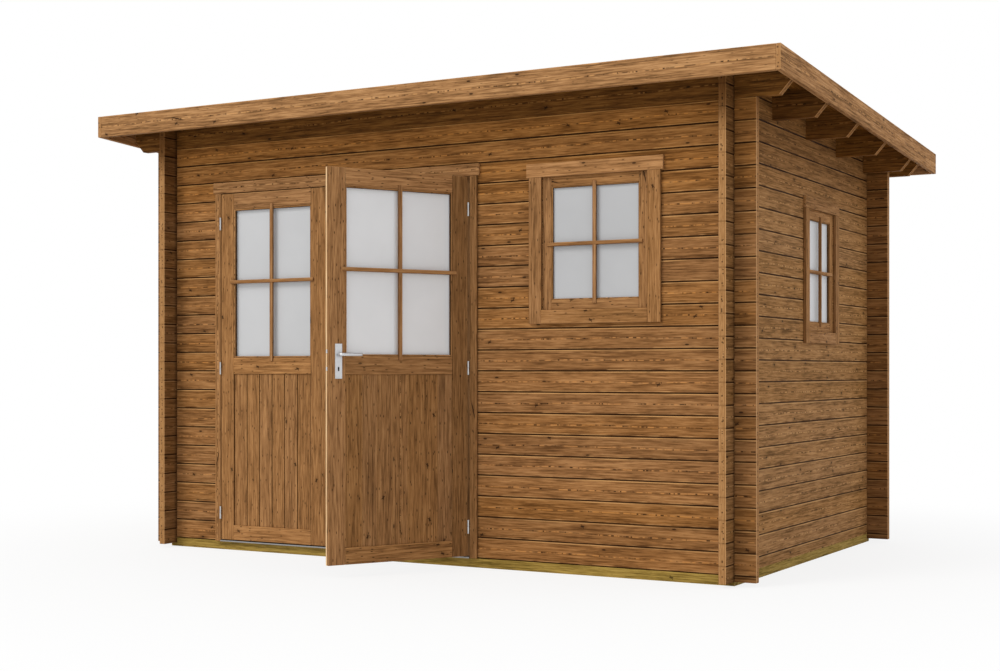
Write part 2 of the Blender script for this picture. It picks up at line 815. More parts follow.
FRONT_LOG = Timber(
    dark=srgb(102, 66, 32), mid=srgb(149, 102, 56), light=srgb(181, 130, 78), fleck=srgb(206, 142, 76),
    knot=srgb(46, 27, 14), gap=srgb(46, 25, 9), sawn=srgb(206, 162, 116), rim=srgb(212, 160, 102),
    pins=0.25, vary=0.14,
)
SIDE_LOG = Timber(
    dark=srgb(107, 75, 41), mid=srgb(156, 112, 66), light=srgb(182, 135, 84), fleck=srgb(206, 157, 102),
    knot=srgb(46, 28, 14), gap=srgb(54, 29, 8), sawn=srgb(214, 164, 112), rim=srgb(214, 165, 110),
    pins=0.5, vary=0.10,
)
ROOF_TIMBER = Timber(
    dark=srgb(76, 46, 16), mid=srgb(114, 72, 28), light=srgb(144, 96, 42), fleck=srgb(168, 116, 58),
    knot=srgb(30, 16, 6), gap=srgb(34, 19, 7), sawn=srgb(184, 134, 82), pins=0.5,
)
FASCIA_TIMBER = Timber(
    dark=srgb(114, 80, 46), mid=srgb(167, 120, 74), light=srgb(198, 149, 98), fleck=srgb(214, 158, 98),
    knot=srgb(48, 28, 14), gap=srgb(54, 32, 16), sawn=srgb(198, 152, 104), pins=0.5, vary=0.05, worn=1.0,
)
TRIM_TIMBER = Timber(
    dark=srgb(116, 79, 43), mid=srgb(156, 110, 64), light=srgb(181, 132, 83), fleck=srgb(206, 152, 94),
    knot=srgb(46, 26, 13), gap=srgb(52, 30, 14), sawn=srgb(198, 152, 104),
    heart=0.25, pins=0.9, vary=0.05, edge=0.3,
)
LEAF_TIMBER = Timber(
    dark=srgb(114, 78, 44), mid=srgb(158, 112, 67), light=srgb(184, 135, 85), fleck=srgb(208, 154, 96),
    knot=srgb(40, 23, 11), gap=srgb(38, 21, 9), sawn=srgb(226, 186, 136), heart=0.08, pins=1.0, vary=0.05,
)
BAR_TIMBER = Timber(
    dark=srgb(126, 87, 51), mid=srgb(160, 114, 70), light=srgb(182, 136, 90), fleck=srgb(204, 156, 106),
    knot=srgb(80, 50, 28), gap=srgb(74, 40, 20), sawn=srgb(176, 130, 86),
    heart=0.0, pins=0.2, vary=0.05, edge=0.5,
)
BEAD_TIMBER = replace(LEAF_TIMBER, edge=0.72, worn=0.3)
LIPPING = Timber(
    dark=srgb(208, 168, 120), mid=srgb(234, 196, 148), light=srgb(248, 218, 174), fleck=srgb(252, 228, 194),
    knot=srgb(170, 124, 80), gap=srgb(200, 160, 112), sawn=srgb(240, 206, 162),
    heart=0.0, pins=0.1, vary=0.0, edge=0.0,
)
TREATED = Timber(
    dark=srgb(112, 91, 36), mid=srgb(158, 130, 59), light=srgb(186, 156, 78), fleck=srgb(196, 166, 94),
    knot=srgb(70, 54, 24), gap=srgb(52, 42, 18), sawn=srgb(176, 150, 88), heart=0.2, pins=0.3, vary=0.04,
)
HINGE = Metal(srgb(206, 207, 208), 0.32, Axis.Z).material("zinc hinge")


# Board surfaces

# Edge radii of plain boards, of frame timbers and of fine strips.
BOARD_EDGE = 0.003
FRAME_EDGE = 0.0025
FINE_EDGE = 0.002
# Depth of an upright bar, and how much deeper the level one is, so that their faces stay apart.
BAR_DEPTH = 0.016
BAR_CROSS = 0.001


def show(name: str, data: bpy.types.ID) -> bpy.types.Object:
    """Puts a mesh, a lamp or a camera into the scene.

    Args:
        name: The object's name.
        data: What the object shows.

    Returns:
        The object, at the origin.
    """
    made = bpy.data.objects.new(name, data)
    bpy.context.scene.collection.objects.link(made)
    return made


def turned(angle: float, spot: Vec) -> np.ndarray:
    """A turn about the upright axis, then a shift.

    Args:
        angle: The turn, in radians.
        spot: Where the origin goes.

    Returns:
        The 4 by 4 matrix.
    """
    place = np.eye(4)
    place[:2, :2] = [[math.cos(angle), -math.sin(angle)], [math.sin(angle), math.cos(angle)]]
    place[:3, 3] = spot
    return place


def moved(points: np.ndarray, place: np.ndarray) -> np.ndarray:
    """Points, one a row, carried by a 4 by 4 matrix."""
    return points @ place[:3, :3].T + place[:3, 3]


def closed_band(rings: int, sides: int) -> tuple[np.ndarray, np.ndarray, np.ndarray]:
    """Ring number, side number and next side number of each face between closed rings."""
    i, j = np.meshgrid(np.arange(rings - 1), np.arange(sides), indexing="ij")
    return i, j, (j + 1) % sides


@dataclass
class Stack:
    """Gathers the boards of one piece: points, faces, grain map, and the marks that the finish reads."""

    seed: int
    points: list[np.ndarray] = field(default_factory=list)
    faces: list[list[int]] = field(default_factory=list)
    grain: list[np.ndarray] = field(default_factory=list)
    marks: dict[str, list[np.ndarray]] = field(default_factory=dict)
    count: int = 0

    def __post_init__(self) -> None:
        """Starts the piece's own random numbers."""
        self.random = np.random.default_rng(self.seed)

    def board(
        self, start: Vec, along: Vec, across: Vec, out: Vec,
        length: float, width: float, depth: float, soft: float, tone: float = 1.0,
    ) -> None:
        """Adds a board with rounded edges and ends.

        The section is a rectangle whose corners are quarter circles of radius soft, carried along the length
        as rings; the first and last rings draw in by a quarter circle. Each point is start + along * t
        + across * a + out * b.

        Args:
            start: Middle of the board's first end.
            along: Direction of the grain.
            across: Direction of the width.
            out: Direction of the shown face.
            length: Length along the grain.
            width: Width.
            depth: Thickness.
            soft: Radius of the edges.
            tone: How light the board is beside its neighbours.
        """
        turn = np.radians([90.0, 45.0, 0.0])
        arc = np.stack([np.cos(turn), np.sin(turn)], 1)
        corner = np.concatenate([arc, arc[::-1] * (1, -1), arc * (-1, -1), arc[::-1] * (-1, 1)])
        corner = np.roll(corner, 1, axis=0)
        sign = np.repeat(np.array([(1, 1), (1, -1), (-1, -1), (-1, 1)]), 3, axis=0)
        sign = np.roll(sign, 1, axis=0)
        draw, at = soft * (1 - np.sin(turn[::-1])), soft * (1 - np.cos(turn[::-1]))
        draw, at = np.concatenate([draw, draw[::-1]]), np.concatenate([at, length - at[::-1]])
        halves = np.array([width / 2 - soft, depth / 2 - soft])
        ring = sign * halves + corner * soft
        drawn = np.minimum(draw, 0.98 * min(width, depth) / 2)
        section = ring[None] - sign[None] * drawn[:, None, None]
        axes = np.array([along, across, out], float)
        spots = np.array(start) + at[:, None, None] * axes[0]
        spots = spots + section[..., :1] * axes[1] + section[..., 1:] * axes[2]

        # The grain map unrolls the ring from the shown face's middle, and the back face has its own span.
        rings, sides = section.shape[:2]
        i, j, k = closed_band(rings, sides)
        near, far = i * sides, (i + 1) * sides
        quads = np.stack([near + j, far + j, far + k, near + k], -1).reshape(-1, 4)
        step = np.linalg.norm(np.roll(ring, -1, 0) - ring, axis=1)
        edge = np.concatenate([[0.0], np.cumsum(step)]) - halves[0]
        first, second = edge[:-1].copy(), edge[1:].copy()
        back = sides // 2
        first[back], second[back] = halves[0], -halves[0]
        lead = self.random.uniform(0.0, 9.0)
        u = lead + np.stack([at[i], at[i + 1], at[i + 1], at[i]], -1)
        v = np.stack([first[j], first[j], second[j], second[j]], -1)
        low, high = np.arange(sides), np.arange(sides) + (rings - 1) * sides
        if np.linalg.det(axes) < 0:
            quads, u, v = quads[:, ::-1], u[..., ::-1], v[..., ::-1]
            low, high = low[::-1], high[::-1]
        caps = [low.tolist(), high[::-1].tolist()]
        self.points.append(spots.reshape(-1, 3))
        self.faces += (quads + self.count).tolist() + [[n + self.count for n in cap] for cap in caps]
        flat = section.reshape(-1, 2)
        self.grain += [np.stack([u, v], -1).reshape(-1, 2)] + [flat[cap][:, ::-1] for cap in caps]
        ends = np.zeros((rings, sides))
        ends[[0, -1]] = 1.0
        marks = {"key": self.random.random(), "cut": ends, "half": width / 2, "tone": tone}
        for label, value in marks.items():
            self.marks.setdefault(label, []).append(np.broadcast_to(value, (rings, sides)).reshape(-1))
        self.count += rings * sides

    def post(
        self, start: Vec, length: float, width: float, depth: float, soft: float, tone: float = 1.0
    ) -> None:
        """Adds an upright board that faces the front, from the middle of its foot."""
        self.board(start, UP, RIGHT, FRONT, length, width, depth, soft, tone)

    def rail(
        self, start: Vec, length: float, width: float, depth: float, soft: float, tone: float = 1.0
    ) -> None:
        """Adds a level board that faces the front, from the middle of its left end."""
        self.board(start, RIGHT, UP, FRONT, length, width, depth, soft, tone)

    def piece(
        self, name: str, finish: bpy.types.Material, place: np.ndarray | None = None
    ) -> bpy.types.Object:
        """Makes the object of all boards so far.

        Args:
            name: The object's name.
            finish: Its material.
            place: A 4 by 4 turn and shift for the points, or None.

        Returns:
            The object, at the origin.
        """
        spots = np.concatenate(self.points)
        if place is not None:
            spots = moved(spots, place)
        mesh = bpy.data.meshes.new(name)
        mesh.from_pydata(spots.tolist(), [], self.faces)
        grain = np.concatenate(self.grain).astype(np.float32).ravel()
        mesh.uv_layers.new(name="grain").data.foreach_set("uv", grain)
        for label, values in self.marks.items():
            mark = mesh.attributes.new(label, "FLOAT", "POINT")
            mark.data.foreach_set("value", np.concatenate(values).astype(np.float32))
        mesh.materials.append(finish)
        mesh.update()
        LOG.info("%s: %d faces", name, len(mesh.polygons))
        return show(name, mesh)


def settle(piece: bpy.types.Object, body: str, slot: str, *nodes: str) -> bpy.types.Object:
    """Lets a piece ride on a body, name its slot and stand for CAD nodes.

    Args:
        piece: The piece.
        body: The body it moves with.
        slot: The record's material slot.
        nodes: The CAD nodes it stands for.

    Returns:
        The piece.
    """
    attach(piece, body)
    if nodes:
        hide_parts(*nodes)
    return piece


def dress(finish: bpy.types.Material, *nodes: str) -> None:
    """Gives CAD nodes a material.

    Args:
        finish: The material.
        nodes: The nodes' names.
    """
    for name in nodes:
        data = frame["nodes"][name].data
        data.materials.clear()
        data.materials.append(finish)
        LOG.info("%s: dressed as %s", name, finish.name)


def tube(
    path: np.ndarray, flat: np.ndarray, tall: np.ndarray, sides: int = 20
) -> tuple[np.ndarray, list[list[int]]]:
    """A round rod along a level path.

    Each ring is centre + cos(angle) * flat * sideways + sin(angle) * tall * up, with sideways level and
    square to the path; the two end rings are closed.

    Args:
        path: Centre points, one a row.
        flat: Half width at each point.
        tall: Half height at each point.
        sides: Points round a ring.

    Returns:
        The points and the faces.
    """
    way = np.gradient(path, axis=0)
    way /= np.linalg.norm(way, axis=1, keepdims=True)
    side = np.cross(way, UP)
    turn = np.linspace(0.0, 2 * math.pi, sides, endpoint=False)
    spots = path[:, None] + side[:, None] * (flat[:, None] * np.cos(turn))[..., None]
    spots[..., 2] += tall[:, None] * np.sin(turn)
    i, j, k = closed_band(len(path), sides)
    near, far = i * sides, (i + 1) * sides
    quads = np.stack([near + j, near + k, far + k, far + j], -1).reshape(-1, 4)
    first, last = np.arange(sides), np.arange(sides) + (len(path) - 1) * sides
    return spots.reshape(-1, 3), quads.tolist() + [first[::-1].tolist(), last.tolist()]


# Sub-assemblies


@dataclass
class Foundation:
    """The four treated beams under the walls."""

    height: float = 0.05

    def dress(self) -> None:
        """Gives the beams their treated timber, with the grain along each."""
        for number, side in enumerate(("front", "back", "left", "right")):
            run = Axis.X if side in ("front", "back") else Axis.Y
            lay = Lay(run, Axis.Z, -self.height, 3 * self.height, seed=2.7 * number + 2.1, seam=0.0)
            dress(TREATED.stacked(f"treated beam {side}", f"sill_{side}", lay), f"sill_{side}")


@dataclass
class Walls:
    """The six stacks of grooved logs, with the places where they cross."""

    foot: float = 0.05
    course: float = 0.113
    side: float = 1.803
    near: float = -0.021
    rear: float = 2.302
    stub: float = 0.34
    front_stub: float = 0.2

    def dress(self) -> None:
        """Gives each stack its logs: front and back along X, the sides along Y half a course lower."""
        lay = Lay(
            Axis.X, Axis.Z, self.foot, self.course, seed=0.4, body=(-self.side, self.side),
            shelter=(1.06, 0.98, 0.76), top_end=(0.62, 0.54, 0.42),
        )
        walls = ("front_wall_left", "front_wall_right", "front_wall_upper", "back_wall")
        for number, name in enumerate(walls):
            stub = self.stub if name == "back_wall" else self.front_stub
            own = replace(lay, seed=3.17 * number + lay.seed, stub=stub)
            dress(FRONT_LOG.stacked(f"logs {name}", name, own), name)
        lay = Lay(
            Axis.Y, Axis.Z, self.foot - self.course / 2, self.course, seed=20.3, body=(self.near, self.rear),
            stub=self.stub, shelter=(0.74, 0.67, 0.55), top_end=(0.42, 0.34, 0.24),
        )
        for number, name in enumerate(("left_wall", "right_wall")):
            own = replace(lay, seed=5.71 * number + lay.seed)
            dress(SIDE_LOG.stacked(f"logs {name}", name, own), name)


@dataclass
class Roof:
    """Purlins, boarding, covering and fascia boards."""

    fall: float = math.tan(math.radians(3.2))
    plank: float = 0.096
    fascia: float = 0.126
    thick: float = 0.025
    bevel: tuple[float, float] = (0.062, 0.070)
    purlin: float = 0.17
    purlin_drop: float = 0.01

    def dress(self) -> None:
        """Gives the purlins, the boarding and the covering their finishes."""
        for number in range(1, 7):
            name = f"purlin_{number}"
            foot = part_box(name)[0].z - self.purlin_drop
            seed = 1.9 * number + 40.0
            lay = Lay(Axis.X, Axis.Z, foot, self.purlin, seed, seam=0.0, bevel=self.bevel)
            dress(ROOF_TIMBER.stacked(f"purlin {number}", name, lay), name)
        lay = Lay(Axis.Y, Axis.X, 0.0, self.plank, seed=61.0)
        dress(ROOF_TIMBER.stacked("roof boarding", "roof_deck", lay), "roof_deck")
        dress(Felt(dark=srgb(46, 47, 48), light=srgb(78, 79, 80)).material("roof felt"), "roof_felt")

    def fascias(self) -> None:
        """Builds each fascia as one board along the eaves, sloped with the roof at the sides."""
        finish = FASCIA_TIMBER.boarded("fascia boards")
        sides = (("fascia_front", -1.0), ("fascia_back", 1.0), ("fascia_left", -1.0), ("fascia_right", 1.0))
        for seed, (name, out) in enumerate(sides):
            low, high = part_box(name)
            foot = high.z - self.fascia / 2
            if name in ("fascia_front", "fascia_back"):
                mid = (low.y + high.y) / 2
                start = (low.x, mid, foot - self.fall * (mid - low.y))
                along, face, length = RIGHT, (0, out, -out * self.fall), high.x - low.x
            else:
                start = ((low.x + high.x) / 2, low.y, foot)
                along, face, length = (0, 1, -self.fall), (out, 0, 0), high.y - low.y
            stack = Stack(seed + 100)
            stack.board(start, along, UP, face, length, self.fascia, self.thick, BOARD_EDGE)
            settle(stack.piece(f"{name}_board", finish), "building", "trim_wood", name)


@dataclass
class Doorway:
    """Jambs, head, stops and trim around the two leaves, and the metal threshold."""

    jamb: float = 0.035
    trim: float = 0.043
    stop: float = 0.040
    trim_depth: float = 0.018
    log: float = 0.042
    over: float = 0.015
    stop_near: float = 0.002
    stop_foot: float = 0.007

    def __post_init__(self) -> None:
        """Finds the middle of the trim's depth, and the stops' depth and its middle."""
        self.trim_y = -(self.log + self.trim_depth) / 2
        self.stop_depth = self.log / 2 + self.stop_near
        self.stop_y = self.log / 2 - self.stop_depth / 2

    def side(self, finish: bpy.types.Material, name: str, way: float, seed: int, tone: float) -> None:
        """Builds one side's trim, jamb and stop in the place of the CAD jamb.

        Args:
            finish: Their material.
            name: The CAD node.
            way: -1 for the left side, 1 for the right one.
            seed: The piece's random seed.
            tone: How light the side is.
        """
        low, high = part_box(name)
        inner = (high.x if way < 0 else low.x) + way * self.stop
        tall = high.z - low.z
        stack = Stack(seed)
        stack.board(
            (inner + way * self.trim / 2, self.trim_y, low.z), UP, (way, 0, 0), FRONT,
            tall, self.trim, self.trim_depth, BOARD_EDGE, tone,
        )
        stack.board(
            (inner + way * self.jamb / 2, 0.0, low.z), UP, BACK, (-way, 0, 0),
            tall, self.log, self.jamb, FINE_EDGE, tone,
        )
        stack.board(
            (inner - way * self.stop / 2, self.stop_y, low.z + self.stop_foot), UP, (way, 0, 0), FRONT,
            tall - self.stop_foot, self.stop, self.stop_depth, FINE_EDGE, tone,
        )
        settle(stack.piece(f"{name}_boards", finish), "building", "trim_wood", name)

    def head(self, finish: bpy.types.Material) -> None:
        """Builds the head's trim, board and stop in the place of the CAD head.

        Args:
            finish: Their material.
        """
        low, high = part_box("door_frame_head")
        foot, wide = low.z + self.stop, high.x - low.x
        tall = high.z - foot
        stack = Stack(210)
        stack.rail((low.x, self.trim_y, foot + tall / 2), wide, tall, self.trim_depth, BOARD_EDGE)
        reach = self.trim + self.over - self.jamb
        stack.board(
            (low.x + reach, 0.0, foot + self.jamb / 2), RIGHT, BACK, UP,
            wide - 2 * reach, self.log, self.jamb, FINE_EDGE,
        )
        reach = self.trim + self.over + self.stop
        start = (low.x + reach, self.stop_y, low.z + self.stop / 2)
        stack.rail(start, wide - 2 * reach, self.stop, self.stop_depth, FINE_EDGE)
        settle(stack.piece("door_frame_head_boards", finish), "building", "trim_wood", "door_frame_head")

    def build(self) -> None:
        """Builds the frame's boards and dresses the threshold."""
        finish = TRIM_TIMBER.boarded("door frame boards")
        self.side(finish, "door_jamb_left", -1.0, seed=200, tone=1.0)
        self.side(finish, "door_jamb_right", 1.0, seed=201, tone=0.76)
        self.head(finish)
        dress(Metal(srgb(158, 156, 154), 0.38, Axis.X).material("threshold strip"), "door_threshold")


@dataclass
class Leaf:
    """A door leaf: stiles, rails, panel boards, beads and bars around its pane, and its hinges.

    Distances across the leaf are from the hinge axis, and heights are from the ground.
    """

    hand: Hand
    width: float
    free_stile: float
    boards: int
    groove: float
    shade: int
    hinge_tone: float = 1.0
    rail_tone: float = 1.0
    top_tone: float = 1.0
    free_tone: float = 1.0
    panel_tone: float = 1.0
    backing_tone: float = 0.2
    gap: float = 0.0035
    ease: float = 0.0025
    foot: float = 0.062
    top: float = 2.123
    near: float = 0.0065
    depth: float = 0.032
    stile: float = 0.090
    meeting_seam: float = 0.088
    bottom_rail: float = 0.088
    lock_foot: float = 0.988
    lock_rail: float = 0.096
    top_rail: float = 0.090
    panel: float = 0.018
    backing: float = 0.006
    pane_in: float = 0.022
    pane: float = 0.006
    bead: float = 0.010
    bead_drop: float = 0.004
    bar: float = 0.021
    bar_height: float = 0.51
    lap: float = 0.020
    lipping: float = 0.003
    lipping_proud: float = 0.0006
    strip: float = 0.010
    soft: float = 0.0014
    thin_edge: float = 0.0005
    inset: float = 0.0
    joint: float = 0.0012

    def __post_init__(self) -> None:
        """Finds the edges of the stiles, the rails and the pane."""
        self.name = self.hand.name.lower()
        self.body = f"{self.name}_leaf"
        self.seed = 300 if self.hand is Hand.LEFT else 330
        self.inner, self.end = self.gap + self.stile, self.gap + self.width
        self.outer = self.end - self.free_stile
        self.sill, self.lock = self.foot + self.bottom_rail, self.foot + self.lock_foot
        self.pane_low, self.pane_high = self.lock + self.lock_rail, self.top - self.top_rail
        self.head = self.top + self.ease
        self.place = self.standing()

    def standing(self) -> np.ndarray:
        """Turn and shift from the closed leaf at its hinge axis to where it stands.

        Returns:
            The 4 by 4 matrix.
        """
        joint = next(j for j in frame["joints"] if j["name"] == f"{self.body}_swing")
        angle = math.radians(-joint["range_deg"][0]) if self.hand is Hand.RIGHT else 0.0
        return turned(angle, (*joint["pos_m"][:2], 0.0))

    def upright(
        self, stack: Stack, a: float, b: float, low: float, high: float,
        y: float, depth: float, soft: float, tone: float = 1.0,
    ) -> None:
        """Adds a board with upright grain, between two distances from the hinge axis."""
        middle = self.hand.value * (a + b) / 2
        stack.post((middle, y + depth / 2, low), high - low, b - a, depth, soft, tone)

    def level(
        self, stack: Stack, a: float, b: float, low: float, high: float,
        y: float, depth: float, soft: float, tone: float = 1.0,
    ) -> None:
        """Adds a board with level grain, between two distances from the hinge axis."""
        left = min(self.hand.value * a, self.hand.value * b)
        stack.rail((left, y + depth / 2, (low + high) / 2), b - a, high - low, depth, soft, tone)

    def stiles_and_rails(self, timber: bpy.types.Material) -> None:
        """Builds the frame, with two boards in a wide meeting stile, and the right leaf's edge lipping.

        Args:
            timber: The leaf's timber.
        """
        foot, head, y, t = self.foot, self.head, self.near, self.depth
        inner, outer, end = self.inner, self.outer, self.end
        stack = Stack(self.seed)
        self.upright(stack, self.gap - self.ease, inner, foot, head, y, t, FRAME_EDGE, self.hinge_tone)
        if self.free_stile > 1.5 * self.stile:
            seam = outer + self.meeting_seam
            self.upright(stack, outer, seam, foot, head, y, t, BOARD_EDGE)
            self.upright(stack, seam, end, foot, head, y, t, BOARD_EDGE)
        else:
            self.upright(stack, outer, end, foot, head, y, t, FRAME_EDGE, self.free_tone)
        a, b = inner + self.joint, outer - self.joint
        self.level(stack, a, b, foot, self.sill, y, t, FRAME_EDGE, self.rail_tone)
        self.level(stack, a, b, self.lock, self.pane_low, y, t, FRAME_EDGE, self.rail_tone)
        self.level(stack, a, b, self.pane_high, head, y, t, FRAME_EDGE, self.top_tone)
        piece = stack.piece(f"{self.body}_stiles_and_rails", timber, self.place)
        settle(piece, self.body, "leaf_wood", f"{self.body}_frame")
        if self.hand is Hand.RIGHT:
            stack = Stack(self.seed + 4)
            a, b = end - self.lipping, end + self.lipping_proud
            self.upright(stack, a, b, foot, head, y + 0.6 * t, 0.4 * t, self.thin_edge)
            piece = stack.piece(f"{self.body}_lipping", LIPPING.boarded("edge lipping"), self.place)
            settle(piece, self.body, "leaf_wood")

    def panel_boards(self, timber: bpy.types.Material) -> None:
        """Builds the panel's boards with their grooves, a strip at the free stile and a dark backing.

        Args:
            timber: The leaf's timber.
        """
        sill, lock, outer = self.sill, self.lock, self.outer
        start = self.inner + self.inset
        wide = (outer - start - self.strip) / self.boards
        face, thick, tone = self.near + (self.depth - self.panel) / 2, self.panel, self.panel_tone
        stack = Stack(self.seed + 1)
        self.upright(stack, outer - self.strip, outer, sill, lock, face, thick, FINE_EDGE, tone)
        for number in range(self.boards):
            a = start + number * wide + self.groove / 2
            b = a + wide - self.groove
            self.upright(stack, a, b, sill, lock, face, thick, self.soft, tone)
        y = self.near + self.depth / 2 - self.backing / 2
        self.upright(stack, self.inner, outer, sill, lock, y, self.backing, self.thin_edge, self.backing_tone)
        piece = stack.piece(f"{self.body}_boards", timber, self.place)
        settle(piece, self.body, "leaf_wood", f"{self.body}_panel")

    def beads(self) -> None:
        """Builds the beads around the pane, in front of it and behind it."""
        a, b, low, high, bead = self.inner, self.outer, self.pane_low, self.pane_high, self.bead
        face = self.near + self.pane_in
        front = (self.near + self.bead_drop, self.pane_in - self.bead_drop)
        back = (face + self.pane, self.depth - self.pane_in - self.pane)
        stack = Stack(self.seed + 2)
        for y, deep in (front, back):
            self.upright(stack, a, a + bead, low, high, y, deep, FINE_EDGE)
            self.upright(stack, b - bead, b, low, high, y, deep, FINE_EDGE)
            self.level(stack, a + bead, b - bead, low, low + bead, y, deep, FINE_EDGE)
            self.level(stack, a + bead, b - bead, high - bead, high, y, deep, FINE_EDGE)
        timber = BEAD_TIMBER.boarded(f"{self.name} leaf beads")
        settle(stack.piece(f"{self.body}_beads", timber, self.place), self.body, "leaf_wood")

    def bars(self) -> None:
        """Builds the crossing bars on both faces of the leaf, half their depth proud of it."""
        mid, half, lap = (self.inner + self.outer) / 2, self.bar / 2, self.lap
        low, high = self.pane_low - lap, self.pane_high + lap
        z = self.pane_low + self.bar_height * (self.pane_high - self.pane_low)
        stack = Stack(self.seed + 3)
        for face, nudge in ((self.near, BAR_CROSS), (self.near + self.depth, 0.0)):
            y = face - BAR_DEPTH / 2
            self.upright(stack, mid - half, mid + half, low, high, y, BAR_DEPTH, BOARD_EDGE)
            self.level(
                stack, self.inner - lap, self.outer + lap, z - half, z + half,
                y - nudge, BAR_DEPTH + BAR_CROSS, BOARD_EDGE,
            )
        timber = BAR_TIMBER.boarded(f"{self.name} leaf bars")
        settle(stack.piece(f"{self.body}_bars", timber, self.place), self.body, "leaf_wood")

    def build(self) -> None:
        """Builds the leaf's timber and dresses its pane and hinges."""
        timber = LEAF_TIMBER.boarded(f"{self.name} leaf timber")
        self.stiles_and_rails(timber)
        self.panel_boards(timber)
        self.beads()
        self.bars()
        dress(Pane(self.shade).material(f"{self.name} leaf pane"), f"{self.body}_glass")
        dress(HINGE, f"{self.name}_hinge_frame_side", f"{self.name}_hinge_leaf_side")


@dataclass
class Handle:
    """Plates, lever and lock front on the right leaf's free stile."""

    leaf: Leaf
    spindle_in: float = 0.056
    spindle_z: float = 1.154
    plate: float = 0.004
    reach: float = 0.032
    length: float = 0.124
    neck: float = 0.008
    bend: float = 0.013
    grip: float = 0.06
    swell: float = 1.12
    bolt_feet: tuple[float, float] = (1.160, 1.070)
    bolt: Vec = (0.020, 0.012, 0.005)
    bolt_proud: float = 0.002
    bolt_edge: float = 0.0015
    keyhole: Vec = (0.022, 0.0075, 0.0008)
    keyhole_drop: float = 0.086
    keyhole_edge: float = 0.0003

    def __post_init__(self) -> None:
        """Finds the spindle and the middle of the leaf's depth in the closed leaf."""
        self.spindle_x = -(self.leaf.end - self.spindle_in)
        self.mid = self.leaf.near + self.leaf.depth / 2

    def lever(self, metal: bpy.types.Material) -> None:
        """Builds the lever as a bent rod on each side of the leaf.

        The rod's path runs straight out from the spindle, round a quarter circle, and level to the tip, where
        its rings close in on a quarter circle. The grip is a little taller than it is wide.

        Args:
            metal: Its material.
        """
        far = self.leaf.depth / 2 + self.plate + self.reach
        out = np.linspace(0.0, far - self.bend, 6)
        turn = np.linspace(0.0, math.pi / 2, 9)[1:]
        tip = np.linspace(math.pi / 2, 0.05, 7)
        last = self.length - self.neck + self.neck * np.cos(tip)
        grip = np.ones(1 + len(tip))
        level = np.concatenate([0 * out, self.bend * (1 - np.cos(turn)), [self.grip], last])
        depth = np.concatenate([out, far - self.bend + self.bend * np.sin(turn), far * grip])
        size = np.full(len(level), self.neck)
        size[-len(tip):] *= np.sin(tip)
        swell = np.linspace(1.0, self.swell, len(turn))
        tall = size * np.concatenate([np.ones(len(out)), swell, self.swell * grip])
        spots, faces = [], []
        for way in (-1.0, 1.0):
            z = np.full_like(level, self.spindle_z)
            path = np.stack([self.spindle_x + level, self.mid + way * depth, z], 1)
            points, around = tube(path, size, tall)
            count = sum(map(len, spots))
            faces += [[n + count for n in (f[::-1] if way > 0 else f)] for f in around]
            spots.append(points)
        mesh = bpy.data.meshes.new("lever_rod")
        mesh.from_pydata(moved(np.concatenate(spots), self.leaf.place).tolist(), [], faces)
        mesh.polygons.foreach_set("use_smooth", np.ones(len(mesh.polygons), bool))
        mesh.materials.append(metal)
        mesh.update()
        settle(show("lever_rod", mesh), "lever", "handle_metal", "lever_handle")
        LOG.info("lever_rod: %d faces", len(faces))

    def lock(self, metal: bpy.types.Material) -> None:
        """Builds the bolts in the leaf's free edge and the keyholes in both plates.

        Args:
            metal: The bolts' material.
        """
        stack = Stack(380)
        for z in self.bolt_feet:
            start = (-self.leaf.end - self.bolt_proud, self.mid, z)
            stack.board(start, UP, BACK, (-1, 0, 0), *self.bolt, self.bolt_edge)
        settle(stack.piece("lock_bolts", metal, self.leaf.place), "right_leaf", "handle_metal")
        stack = Stack(381)
        for y in (self.leaf.near - self.plate, self.leaf.near + self.leaf.depth + self.plate):
            start = (self.spindle_x, y, self.spindle_z - self.keyhole_drop)
            stack.post(start, *self.keyhole, self.keyhole_edge)
        dark = Metal(srgb(40, 38, 36), 0.5, Axis.Z).material("keyhole shade")
        settle(stack.piece("keyhole_slots", dark, self.leaf.place), "right_leaf", "handle_metal")

    def build(self) -> None:
        """Dresses the plates and builds the lever and the lock."""
        metal = Metal(srgb(214, 215, 217), 0.28, Axis.Z).material("satin handle")
        dress(metal, "handle_plates")
        self.lever(metal)
        self.lock(metal)


